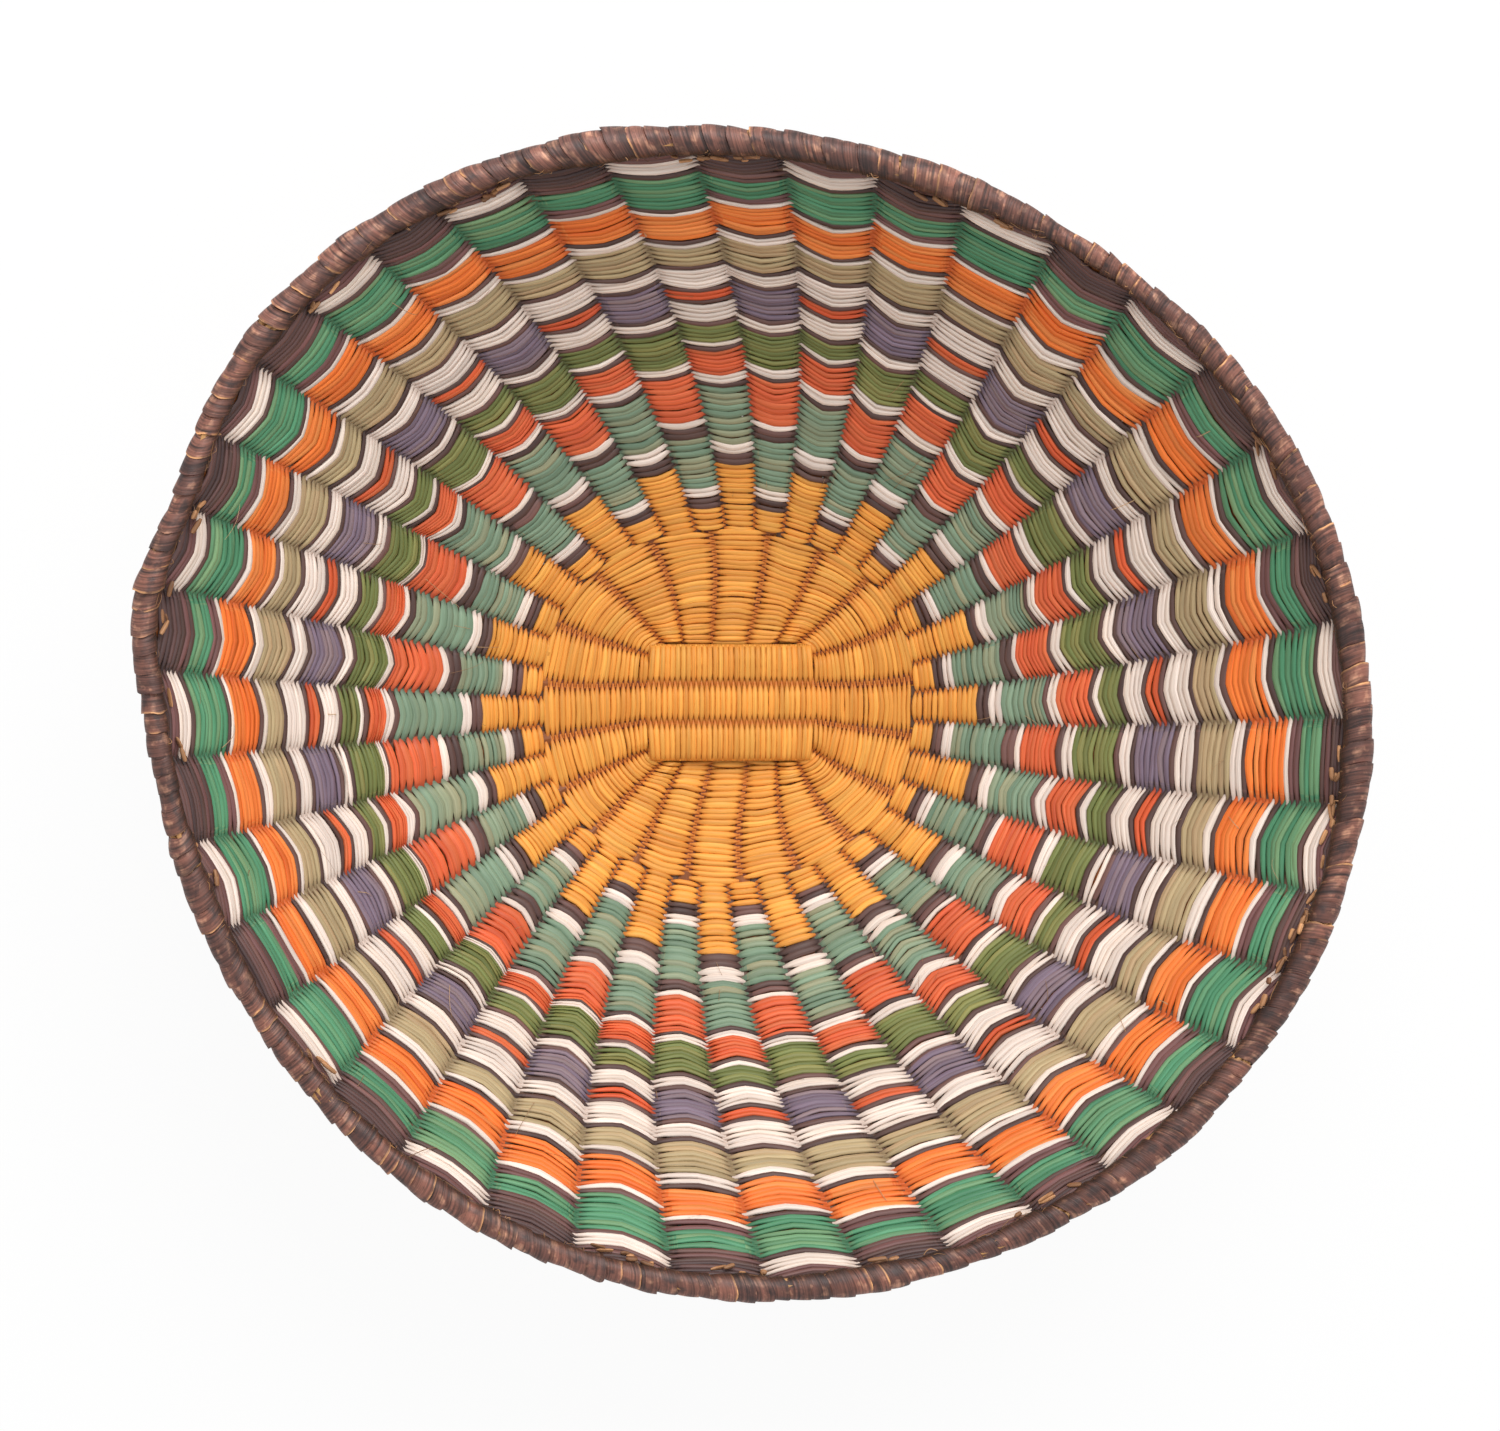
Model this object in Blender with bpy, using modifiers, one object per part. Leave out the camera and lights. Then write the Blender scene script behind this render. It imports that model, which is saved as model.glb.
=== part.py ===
"""A wicker peach basket: dyed wefts woven over and under forty ribs that spread from a plaited
centre, with a wrapped rim.

The wall is a bowl. A place on it is a turn, the angle about the upright axis, and a rise, which
runs from nought at the edge of the plaited centre to one at the middle of the rim. Every rib and
every weft takes its place from bowl_point, so the whole basket follows the sizes below.
"""

import math

import bmesh
import bpy
from mathutils import Vector

# The rim, seen from above: a slightly oval ring that was never quite true
rim_radius = 0.1968
rim_oval = 0.0071
rim_oval_turn = math.radians(-24)
rim_lobe = 0.0026
rim_lobe_turn = math.radians(15)
rim_corner = 0.0007
rim_corner_turn = math.radians(51.8)
rim_shift = 0.0017
rim_shift_turn = math.radians(98)
rim_bulge = 0.0036
rim_bulge_turn = math.radians(170)
rim_dent = 0.0022
rim_dent_turn = math.radians(158)
rim_dent_spread = math.radians(7)
outline_steps = 720

# The rim's cross-section: a round bundle inside a wrapping, with a slot that the rib ends enter
core_radius = 0.0028
core_clearance = 0.0012
binding_thickness = 0.0009
binding_groove = 0.0004
binding_wraps = 40
binding_slant = math.radians(1.6)
binding_outer_points = 7
binding_inner_points = 6

# The bowl and the plaited centre
bowl_height = 0.105
panel_half_length = 0.0285
panel_half_width = 0.0205
panel_margin = 0.001
panel_ribs = 3
panel_corner_power = 7
panel_crest_share = 0.34

# The ribs and the wefts
rib_thickness = 0.0022
rib_width_share = 0.58
inner_width_share = 0.5
rib_taper = 0.004
weft_thickness = 0.0009
rib_clearance = 0.0007
gap = 0.0004
foot_flat = 0.0003
cutter_overrun = 0.02
upper_passes = 8
lower_passes = 6
sharp_angle = math.radians(75)

# Where the ribs go, counted anticlockwise from the right. Main ribs have even numbers in the wall
# and carry the inner ribs on, and added ribs have odd ones. They are not spread evenly: a drift
# goes once round the basket and a sway twice. All lean as they rise, by the mean lean at the rim.
inner_ribs = 20
wall_ribs = 2 * inner_ribs
fan_offset = math.radians(-1.83)
fan_drift = math.radians(2.47)
fan_drift_turn = math.radians(139.1)
fan_sway = math.radians(2.64)
fan_sway_turn = math.radians(-7.9)
lean_mean = math.radians(7.4)
lean_drift = math.radians(4.77)
lean_drift_turn = math.radians(13.7)
lean_sway = math.radians(5.91)
lean_sway_turn = math.radians(90.9)

# Rises, as shares of the wall between the plaited centre and the rim
lift_end_share = 0.065
start_lift_share = 0.85
start_width_share = 0.1
inner_middle_share = 0.13
split_share = 0.21
split_bend_share = 0.013
rib_stations = 8
panel_fade_power = 4
rim_fade_power = 1.5
bulge_fade_power = 6

# The coloured wefts of the wall, from the centre out, each with the share of the wall where it
# ends. One set is over the main ribs inside the bowl, the other is over the added ribs.
main_weft_shares = (
    ("gold", 0.357),
    ("teal", 0.49),
    ("coral", 0.61),
    ("white", 0.73),
    ("orange", 0.855),
    ("green", 1),
)
added_weft_shares = (
    ("gold", 0.285),
    ("teal", 0.425),
    ("coral", 0.55),
    ("olive", 0.67),
    ("purple", 0.79),
    ("khaki", 0.915),
    ("brown", 1),
)

colours = {
    "gold": (0.78, 0.36, 0.07),
    "teal": (0.10, 0.27, 0.18),
    "coral": (0.66, 0.11, 0.04),
    "olive": (0.13, 0.18, 0.05),
    "white": (0.74, 0.64, 0.56),
    "khaki": (0.34, 0.29, 0.12),
    "orange": (0.78, 0.17, 0.03),
    "green": (0.05, 0.27, 0.11),
    "purple": (0.15, 0.11, 0.19),
    "brown": (0.09, 0.05, 0.05),
    "rib": (0.50, 0.31, 0.14),
    "core": (0.46, 0.28, 0.12),
    "binding": (0.11, 0.06, 0.05),
}
weft_roughness = 0.45
rib_roughness = 0.6

binding_bore = core_radius + core_clearance
binding_radius = binding_bore + binding_thickness
rim_stations = 2 * binding_wraps
rim_line_radius = rim_radius - binding_radius
crown = rib_thickness / 2 + rib_clearance + weft_thickness / 2
layer = crown + weft_thickness / 2
panel_lift = layer + gap / 2
base_level = layer - foot_flat + panel_lift
panel_mean = (panel_half_length + panel_half_width) / 2
panel_rib_pitch = 2 * (panel_half_width - gap) / panel_ribs
wall_run = rim_line_radius - panel_mean
rim_slope = math.atan2(2 * bowl_height, wall_run)

for thing in list(bpy.data.objects):
    bpy.data.objects.remove(thing, do_unlink=True)
parts = bpy.data.collections.new("peach_basket")
cutters = bpy.data.collections.new("cutters")
bpy.context.scene.collection.children.link(parts)
bpy.context.scene.collection.children.link(cutters)


def material(name, colour, roughness):
    """One Principled material, made once for each name."""
    made = bpy.data.materials.get(name) or bpy.data.materials.new(name)
    made.use_nodes = True
    shader = made.node_tree.nodes["Principled BSDF"]
    shader.inputs["Base Color"].default_value = (*colour, 1)
    shader.inputs["Roughness"].default_value = roughness
    shader.inputs["Metallic"].default_value = 0
    return made


def mix(low, high, share):
    return low + (high - low) * share


def rim_reach(turn):
    """How far the rim's middle line is from the axis."""
    return (
        rim_line_radius
        + rim_oval * math.cos(2 * (turn - rim_oval_turn))
        + rim_lobe * math.cos(3 * (turn - rim_lobe_turn))
        + rim_corner * math.cos(4 * (turn - rim_corner_turn))
        + rim_shift * math.cos(turn - rim_shift_turn)
    )


def swell(turn, middle, amount):
    """A short bump in the rim, one dent's spread wide on each side of its middle."""
    away = math.remainder(turn - middle, math.tau) / rim_dent_spread
    return amount * math.exp(-away * away)


def panel_reach(turn):
    """The outline of the plaited centre, a rectangle with rounded corners."""
    along = abs(math.cos(turn)) / (panel_half_length + panel_margin)
    across = abs(math.sin(turn)) / (panel_half_width + panel_margin)
    return (along**panel_corner_power + across**panel_corner_power) ** (-1 / panel_corner_power)


def reach(turn, rise):
    """How far the bowl is from the axis: the centre's outline turns into the rim's as it rises."""
    fade = max(1 - rise, 0) ** panel_fade_power
    bumps = swell(turn, rim_bulge_turn, rim_bulge) - swell(turn, rim_dent_turn, rim_dent)
    return (
        mix(panel_mean, rim_line_radius, rise)
        + (panel_reach(turn) - panel_mean) * fade
        + (rim_reach(turn) - rim_line_radius) * max(rise, 0) ** rim_fade_power
        + bumps * max(rise, 0) ** bulge_fade_power
    )


def rim_middle():
    """The middle of the rim's outline, which goes on the origin's axis."""
    turns = [math.tau * step / outline_steps for step in range(outline_steps)]
    edge = [reach(turn, 1) + binding_radius for turn in turns]
    across = [far * math.cos(turn) for far, turn in zip(edge, turns)]
    along = [far * math.sin(turn) for far, turn in zip(edge, turns)]
    return Vector(((max(across) + min(across)) / 2, (max(along) + min(along)) / 2, 0))


shift = rim_middle()


def bowl_point(turn, rise, lift):
    """A point of the bowl, moved by lift along the wall's normal towards the inside."""
    slope = math.atan2(2 * bowl_height * max(rise, 0), wall_run)
    outward = Vector((math.cos(turn), math.sin(turn), 0))
    upward = Vector((0, 0, 1))
    place = outward * reach(turn, rise) + upward * (base_level + bowl_height * max(rise, 0) ** 2)
    return place - shift + (upward * math.cos(slope) - outward * math.sin(slope)) * lift


def rise_length(rise):
    """The length of wall in one whole rise, at this steepness."""
    return math.hypot(wall_run, 2 * bowl_height * rise)


def wall_turn(rib, rise):
    """The angle of a wall rib at a rise."""
    even = math.tau * rib / wall_ribs
    start = (
        fan_offset
        + fan_drift * math.cos(even - fan_drift_turn)
        + fan_sway * math.cos(2 * (even - fan_sway_turn))
    )
    lean = (
        lean_mean
        + lean_drift * math.cos(even - lean_drift_turn)
        + lean_sway * math.cos(2 * (even - lean_sway_turn))
    )
    return even + start + lean * (rise - split_share) / (1 - split_share)


def start_turn(rib):
    """The angle at which an inner rib leaves the plaited centre."""
    crosswise = math.atan2(panel_rib_pitch, panel_half_length + panel_margin)
    lengthwise = math.atan2(panel_half_width + panel_margin, panel_rib_pitch)
    step = (lengthwise - crosswise) / 3
    quarter = (0, crosswise, crosswise + step, lengthwise - step, lengthwise)
    side, place = divmod(rib, len(quarter))
    if side % 2 == 0:
        return side * math.pi / 2 + quarter[place]
    mirrored = (math.pi / 2, *quarter[:0:-1])
    return side * math.pi / 2 + math.pi / 2 - mirrored[place]


def inner_turn(rib, rise):
    """The angle of an inner rib between the plaited centre and the rise where the added ribs
    start, where it goes on as a main rib of the wall."""
    whole, part = divmod(rib, 1)
    if part:
        low = inner_turn(whole, rise)
        high = inner_turn(whole + 1, rise)
        return mix(low, high, part)
    around, number = divmod(int(rib), inner_ribs)
    share = min(max(rise / split_share, 0), 1)
    bend = share * (2 - share)
    return around * math.tau + mix(start_turn(number), wall_turn(2 * number, rise), bend)


def panel_side(rib):
    """1 for a rib of the crosswise layer, -1 for the lengthwise one and 0 for a diagonal."""
    crosswise = (0, 1, inner_ribs // 2 - 1, inner_ribs // 2, inner_ribs // 2 + 1, inner_ribs - 1)
    quarter = inner_ribs // 4
    lengthwise = (quarter - 1, quarter, quarter + 1, -quarter - 1, -quarter, -quarter + 1)
    if rib % inner_ribs in crosswise:
        return 1
    return -1 if rib % inner_ribs in [place % inner_ribs for place in lengthwise] else 0


def rib_lift(rib, rise):
    """How far a rib lies above or below the bowl where the two layers of the centre cross."""
    start = panel_side(rib) * panel_lift * start_lift_share
    return start * min(max(1 - rise / lift_end_share, 0), 1)


def mesh_object(name, form, colour, roughness):
    """An object made of what a bmesh holds, shaded smooth but for its sharp edges."""
    mesh = bpy.data.meshes.new(name)
    form.to_mesh(mesh)
    form.free()
    mesh.shade_smooth()
    mesh.set_sharp_from_angle(angle=sharp_angle)
    mesh.materials.append(material(name, colour, roughness))
    thing = bpy.data.objects.new(name, mesh)
    parts.objects.link(thing)
    return thing


def loft(name, sections, closed, colour, roughness):
    """A solid through sections of equally many points, capped at its ends unless it is closed."""
    form = bmesh.new()
    rings = [[form.verts.new(point) for point in section] for section in sections]
    pairs = list(zip(rings, rings[1:]))
    if closed:
        pairs.append((rings[-1], rings[0]))
    for first, second in pairs:
        for place in range(len(first)):
            form.faces.new((first[place - 1], first[place], second[place], second[place - 1]))
    if not closed:
        form.faces.new(rings[0])
        form.faces.new(reversed(rings[-1]))
    bmesh.ops.recalc_face_normals(form, faces=form.faces)
    mesh_object(name, form, colour, roughness)


def strip(name, lines, closed, colour):
    """A flat weft: an open surface between lines of equally many points, made solid."""
    form = bmesh.new()
    rows = [[form.verts.new(point) for point in line] for line in lines]
    for low, high in zip(rows, rows[1:]):
        last = len(low) if closed else len(low) - 1
        for place in range(last):
            after = (place + 1) % len(low)
            form.faces.new((low[place], low[after], high[after], high[place]))
    thing = mesh_object(name, form, colour, weft_roughness)
    thicken = thing.modifiers.new("thickness", "SOLIDIFY")
    thicken.thickness = weft_thickness
    thicken.offset = 0
    return thing


def rib_section(turn, rise, lift, half_width, flipped=False):
    """A rib's cross-section, a flat lens that follows the bowl."""
    sweep = half_width / reach(turn, rise)
    edges = [bowl_point(turn - sweep, rise, lift), bowl_point(turn + sweep, rise, lift)]
    if flipped:
        edges.reverse()
    return (
        edges[0],
        bowl_point(turn, rise, lift + rib_thickness / 2),
        edges[1],
        bowl_point(turn, rise, lift - rib_thickness / 2),
    )


def half_width_at(rib, rise, turn_of, share):
    """Half the width of a rib that takes this share of the room between its neighbours."""
    turn = turn_of(rib, rise)
    room = min(turn - turn_of(rib - 1, rise), turn_of(rib + 1, rise) - turn)
    return room * reach(turn, rise) * share / 2


def wall_sections(rib, flipped=False):
    """A wall rib's sections, from where the added ribs start to the rim."""
    start_rise = split_share + split_bend_share
    end_rise = 1 - (core_radius + rib_clearance) / rise_length(1)
    sections = []
    for station in range(rib_stations):
        rise = mix(start_rise, end_rise, station / (rib_stations - 1))
        half_width = half_width_at(rib, rise, wall_turn, rib_width_share)
        sections.append(rib_section(wall_turn(rib, rise), rise, 0, half_width, flipped))
    return sections


def inner_sections(rib, flipped=False):
    """A main rib's sections, from the plaited centre to where the added ribs start."""
    sections = []
    for rise in (0, lift_end_share, inner_middle_share, split_share - split_bend_share):
        share = mix(start_width_share, inner_width_share, min(rise / inner_middle_share, 1))
        half_width = half_width_at(rib, rise, inner_turn, share)
        lift = rib_lift(rib, rise)
        sections.append(rib_section(inner_turn(rib, rise), rise, lift, half_width, flipped))
    return sections


def main_sections(rib, flipped=False):
    """One arm of a main rib, from the plaited centre to the rim."""
    return inner_sections(rib, flipped) + wall_sections(2 * rib, flipped)


def panel_sections(place, axis):
    """A through rib's two sections in the plaited centre, the far one first."""
    half_span = panel_half_length if axis == "x" else panel_half_width
    level = base_level + (panel_lift if axis == "x" else -panel_lift)
    half_width = panel_rib_pitch * rib_width_share / 2
    sections = []
    for along in (rib_taper - half_span, half_span - rib_taper):
        section = []
        for side, lift in ((-1, 0), (0, 1), (1, 0), (0, -1)):
            across = place + side * half_width
            flat_place = (along, across) if axis == "x" else (-across, along)
            section.append(Vector((*flat_place, level + lift * rib_thickness / 2)) - shift)
        sections.append(section)
    return sections


def through_rib(name, rib, far_rib, place, axis):
    """A rib that runs from rim to rim through the plaited centre."""
    far_arm = main_sections(far_rib, flipped=True)[::-1]
    sections = far_arm + panel_sections(place, axis) + main_sections(rib)
    loft(name, sections, False, colours["rib"], rib_roughness)


def make_ribs():
    half = inner_ribs // 2
    quarter = inner_ribs // 4
    for number, rib in enumerate((1, 0, -1), 1):
        place = rib * panel_rib_pitch
        through_rib(f"crosswise_rib_{number}", rib, half - rib, place, "x")
        through_rib(f"lengthwise_rib_{number}", quarter + rib, -quarter - rib, place, "y")
    diagonals = [rib for rib in range(inner_ribs) if panel_side(rib) == 0]
    for number, rib in enumerate(diagonals, 1):
        loft(f"diagonal_rib_{number}", main_sections(rib), False, colours["rib"], rib_roughness)
    for number in range(inner_ribs):
        name = f"added_rib_{number + 1:02d}"
        loft(name, wall_sections(2 * number + 1), False, colours["rib"], rib_roughness)


def crossing_margin(overlap):
    """How far each of two wefts keeps from the line on which they cross between ribs, where one
    lies over the other by this overlap on the ribs. Away from the crossing, they have to be a
    thickness apart before they start to overlap."""
    share = (weft_thickness + gap) / (2 * crown)
    return overlap * share / (1 - share) / 2 + gap / 2


def woven_ring(name, colour, rises, valley, side, ribs, turn_of, lift_of):
    """A weft band that goes over one rib and under the next. It is wide on the ribs and narrows
    to the valley rises between them, where the bands of the other side cross it."""
    lines = [[] for rise in rises]
    for rib in range(ribs):
        over = -side if rib % 2 else side
        for line, rise in zip(lines, rises):
            line.append(bowl_point(turn_of(rib, rise), rise, lift_of(rib, rise) + over * crown))
        for place, line in enumerate(lines):
            rise = mix(*valley, place / (len(lines) - 1))
            lift = (lift_of(rib, rise) + lift_of(rib + 1, rise)) / 2
            line.append(bowl_point(turn_of(rib + 1 / 2, rise), rise, lift))
    strip(name, lines, True, colour)


def ring_set(bands, ribs, turn_of, lift_of):
    """Weft bands of both sides, each a name, a colour, a side and the rises of its edges. A band
    and the next one out are on unlike sides and overlap."""
    order = sorted(bands, key=lambda band: band[3][0] + band[3][-1])
    valleys = [[rises[0], rises[-1]] for name, colour, side, rises in order]
    for inner, outer in zip(valleys, valleys[1:]):
        low, high = outer[0], inner[1]
        crossing = (low + high) / 2
        length = rise_length(crossing)
        margin = crossing_margin((high - low) * length) / length
        inner[1] = crossing - margin
        outer[0] = crossing + margin
    for (name, colour, side, rises), valley in zip(order, valleys):
        edge = gap / 2 / rise_length(rises[0])
        inset = [rises[0] + edge, *rises[1:-1], rises[-1] - edge]
        woven_ring(name, colours[colour], inset, valley, side, ribs, turn_of, lift_of)


def make_inner_wefts():
    """The gold wefts on the twenty inner ribs."""
    start = gap / rise_length(0)
    end = split_share - split_bend_share
    bands = [
        ("centre_weft_main_1", "gold", 1, (start, lift_end_share)),
        ("centre_weft_between_1", "gold", -1, (start, lift_end_share, inner_middle_share)),
        ("centre_weft_main_2", "gold", 1, (lift_end_share, inner_middle_share, end)),
        ("centre_weft_between_2", "gold", -1, (inner_middle_share, end)),
    ]
    ring_set(bands, inner_ribs, inner_turn, rib_lift)


def make_wall_wefts():
    """The gold ends and the dyed wefts on the forty wall ribs."""
    start = split_share + split_bend_share
    end = 1 - (binding_radius + gap) / rise_length(1)
    bands = []
    for kind, side, shares in (("main", 1, main_weft_shares), ("added", -1, added_weft_shares)):
        low = start
        for colour, share in shares:
            high = min(share, end)
            bands.append((f"{colour}_weft_{kind}", colour, side, (low, high)))
            low = high
    ring_set(bands, wall_ribs, wall_turn, lambda rib, rise: 0)


def panel_weft(name, passes, half_span, level, axis):
    """One weft that snakes to and fro over and under the ribs of a layer."""
    pitch = 2 * half_span / passes
    crown_half = pitch - gap / 2
    valley_half = pitch / 2 - crossing_margin(pitch)
    flat = panel_rib_pitch * panel_crest_share / 2
    path = []
    for number in range(passes):
        along = -half_span + pitch * (number + 1 / 2)
        heading = 1 if number % 2 == 0 else -1
        for place in (-1, 0, 1):
            middle = place * heading * panel_rib_pitch
            over = crown if (number + place) % 2 == 0 else -crown
            ends = number in (0, passes - 1)
            half = pitch / 2 if ends else crown_half
            for side in (-flat, flat):
                path.append((along, middle + side * heading, over, half))
            if place < 1:
                path.append((along, middle + heading * panel_rib_pitch / 2, 0, valley_half))
        if number < passes - 1:
            edge = heading * panel_ribs * panel_rib_pitch / 2
            path.append((along + pitch / 2, edge, 0, valley_half))
    lines = []
    for side in (-1, 1):
        line = []
        for along, across, lift, half in path:
            near = along + side * half
            flat_place = (near, across) if axis == "x" else (across, near)
            line.append(Vector((*flat_place, level + lift)) - shift)
        lines.append(line)
    return strip(name, lines, False, colours["gold"])


def make_panel_wefts():
    panel_weft("crosswise_panel_weft", upper_passes, panel_half_length,
               base_level + panel_lift, "x")
    lower = panel_weft("lengthwise_panel_weft", lower_passes, panel_half_width,
                       base_level - panel_lift, "y")
    bpy.ops.mesh.primitive_cube_add(size=1)
    floor = bpy.context.object
    floor.name = "floor_cutter"
    for owner in list(floor.users_collection):
        owner.objects.unlink(floor)
    cutters.objects.link(floor)
    span = 2 * (panel_half_length + cutter_overrun)
    floor.scale = (span, span, cutter_overrun)
    floor.location = (*-shift.xy, -cutter_overrun / 2)
    floor.hide_render = True
    floor.display_type = "WIRE"
    cut = lower.modifiers.new("flat_foot", "BOOLEAN")
    cut.operation = "DIFFERENCE"
    cut.object = floor


def make_rim_core():
    """The round bundle of bent rib ends."""
    curve = bpy.data.curves.new("rim_core", "CURVE")
    curve.dimensions = "3D"
    curve.bevel_depth = core_radius
    curve.bevel_resolution = 1
    spline = curve.splines.new("POLY")
    spline.points.add(rim_stations - 1)
    spline.use_cyclic_u = True
    for number, point in enumerate(spline.points):
        point.co = (*bowl_point(math.tau * number / rim_stations, 1, 0), 1)
    core = bpy.data.objects.new("rim_core", curve)
    parts.objects.link(core)
    curve.materials.append(material("rim_core", colours["core"], rib_roughness))


def make_rim_binding():
    """The wrapping: a channel round the bundle, grooved between its wraps and slotted where the
    ribs come in."""
    slot = math.asin((rib_thickness / 2 + rib_clearance) / binding_bore)
    down = math.pi + rim_slope
    outer_shares = [place / (binding_outer_points - 1) for place in range(binding_outer_points)]
    inner_shares = [place / (binding_inner_points - 1) for place in range(binding_inner_points)]
    sections = []
    for number in range(rim_stations):
        turn = math.tau * number / rim_stations
        outer = binding_radius if number % 2 else binding_radius - binding_groove
        arc = [(outer, share) for share in outer_shares]
        back = [(binding_bore, share) for share in reversed(inner_shares)]
        section = []
        for radius, share in arc + back:
            angle = mix(down + slot, down + math.tau - slot, share)
            leaned = turn + binding_slant * (2 * share - 1)
            outward = Vector((math.cos(leaned), math.sin(leaned), 0))
            upward = Vector((0, 0, 1))
            offset = outward * radius * math.cos(angle) + upward * radius * math.sin(angle)
            section.append(bowl_point(leaned, 1, 0) + offset)
        sections.append(section)
    loft("rim_binding", sections, True, colours["binding"], weft_roughness)


make_ribs()
make_inner_wefts()
make_wall_wefts()
make_panel_wefts()
make_rim_core()
make_rim_binding()
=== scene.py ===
"""The peach basket as in the photograph: every strand of the weave over and under its ribs."""

import math

import bpy
import numpy as np
from mathutils import Matrix, Vector


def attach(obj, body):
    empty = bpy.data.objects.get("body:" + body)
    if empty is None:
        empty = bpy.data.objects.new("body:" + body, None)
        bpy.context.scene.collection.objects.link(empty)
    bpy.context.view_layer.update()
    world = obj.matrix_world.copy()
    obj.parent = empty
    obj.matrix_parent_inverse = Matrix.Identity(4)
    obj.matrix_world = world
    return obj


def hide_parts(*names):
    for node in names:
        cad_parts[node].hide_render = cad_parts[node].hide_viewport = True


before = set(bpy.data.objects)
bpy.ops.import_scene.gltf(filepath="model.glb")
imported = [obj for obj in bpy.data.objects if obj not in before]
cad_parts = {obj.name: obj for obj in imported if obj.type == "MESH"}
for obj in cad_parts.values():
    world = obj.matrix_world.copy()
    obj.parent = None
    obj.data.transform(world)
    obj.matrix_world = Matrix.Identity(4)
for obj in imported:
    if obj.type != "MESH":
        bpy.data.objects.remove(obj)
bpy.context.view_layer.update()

# The bowl, as in the CAD model, in metres and radians
rim_radius = 0.1968
rim_oval = 0.0071
rim_oval_turn = math.radians(-24)
rim_lobe = 0.0026
rim_lobe_turn = math.radians(15)
rim_corner = 0.0007
rim_corner_turn = math.radians(51.8)
rim_shift = 0.0017
rim_shift_turn = math.radians(98)
rim_bulge = 0.0036
rim_bulge_turn = math.radians(170)
rim_dent = 0.0022
rim_dent_turn = math.radians(158)
rim_dent_spread = math.radians(7)
binding_radius = 0.0049
bowl_height = 0.105
panel_half_length = 0.0285
panel_half_width = 0.0205
panel_margin = 0.001
panel_ribs = 3
gap = 0.0004
panel_rib_pitch = 2 * (panel_half_width - gap) / panel_ribs
panel_corner_power = 7
panel_fade_power = 4
rim_fade_power = 1.5
bulge_fade_power = 6
crown = 0.00225
crossing_room = 0.00045
foot_sink = 0.0003
layer = crown + crossing_room
panel_lift = layer + gap / 2
base_level = layer - foot_sink + panel_lift
lift_end_share = 0.065
start_lift_share = 0.85
split_share = 0.21
rim_line_radius = rim_radius - binding_radius
panel_mean = (panel_half_length + panel_half_width) / 2
wall_run = rim_line_radius - panel_mean
inner_ribs = 20
wall_ribs = 2 * inner_ribs

# Where the ribs fan out
fan_offset = math.radians(-1.83)
fan_drift = math.radians(2.47)
fan_drift_turn = math.radians(139.1)
fan_sway = math.radians(2.64)
fan_sway_turn = math.radians(-7.9)
lean_mean = math.radians(7.4)
lean_drift = math.radians(4.77)
lean_drift_turn = math.radians(13.7)
lean_sway = math.radians(5.91)
lean_sway_turn = math.radians(90.9)

# The strands, in metres, with the lengths of wall where their rows end
row_pitch = 0.00191
strand_thickness = 0.00125
inner_lift, outer_lift = 0.0017, 0.0019
weave_end, centre_end = 0.1990, -0.0012
rows_past_end = 1.5
first_added_rise = split_share + 0.018
rows_under_rim = 2

# The wave of a strand over and under the ribs, and its width and thickness as shares
rib_steps = 8
inner_wave_power, wall_wave_power = 0.75, 0.6
lift_change = (0.25, 0.7)
inner_tip_share, wall_tip_share = 0.46, 0.66
tip_change = (0.2, 0.4)
crest_share = 1.17
broadening = (0, 0.7)
valley_thickness_share = 0.9
lift_unevenness, thickness_unevenness = 0.05, 0.08
width_unevenness, width_roughness = 0.09, 0.06

# How far the rows lie out of line: pushes on a broad grid and a close one, and small waves
broad_rows, broad_cell, broad_push = 26, 0.009, 0.00036
close_rows, close_cell, close_push = 56, 0.004, 0.00034
close_start, close_full = 0.05, 0.12
settling_start = 0.01
grid_margin = 0.001
row_sway, row_shake = 0.00013, 0.00009

# How far the strands are drawn towards the centre on top of the ribs
rib_bow = 0.0026
bow_range, bow_turn_range = (0.25, 1.6), (-1.1, 1.1)
bow_limits = (0.1, 1.7)
bow_start, bow_full = 0.25, 0.6
bow_power = 1.25
bow_mean = 0.45

# The section of a strand: across it and above its middle, as shares of the halves
section_across = np.array([1, 0.64, -0.64, -1, -0.64, 0.64])
section_over = np.array([0, 1, 1, 0, -1, -1])
sides = len(section_across)
sharp_angle = math.radians(70)

# The strands of the plaited centre; places across its ribs are counted in pitches of the ribs
panel_pitch = 0.00185
panel_overhang = 0.0007
panel_wave_power = 0.8
panel_tip_share, panel_crest_share = 0.5, 1.1
panel_valley_thickness_share = 0.75
panel_unevenness = 0.05
strand_end = 1.43
tucked_places = np.array([1.48, 1.51])
tucked_heights = np.array([-0.4, -0.9])
end_shade, end_shade_from = 0.7, 1.3
end_crest, end_crest_from = 0.5, 1.4
corner_draw_share, corner_draw_power = 0.05, 4
strand_jitter = 0.00008

rng = np.random.default_rng(7)


def mix(low, high, share):
    """A value between two others: low at share 0, high at share 1."""
    return low + (high - low) * share


def smooth(value, low, high):
    """The share of the way from low to high, eased at both ends."""
    share = np.clip((value - low) / (high - low), 0, 1)
    return share * share * (3 - 2 * share)


def about(value, spread):
    """A value with a random part of it added or taken off."""
    return value * (1 + rng.normal(0, spread))


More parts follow.
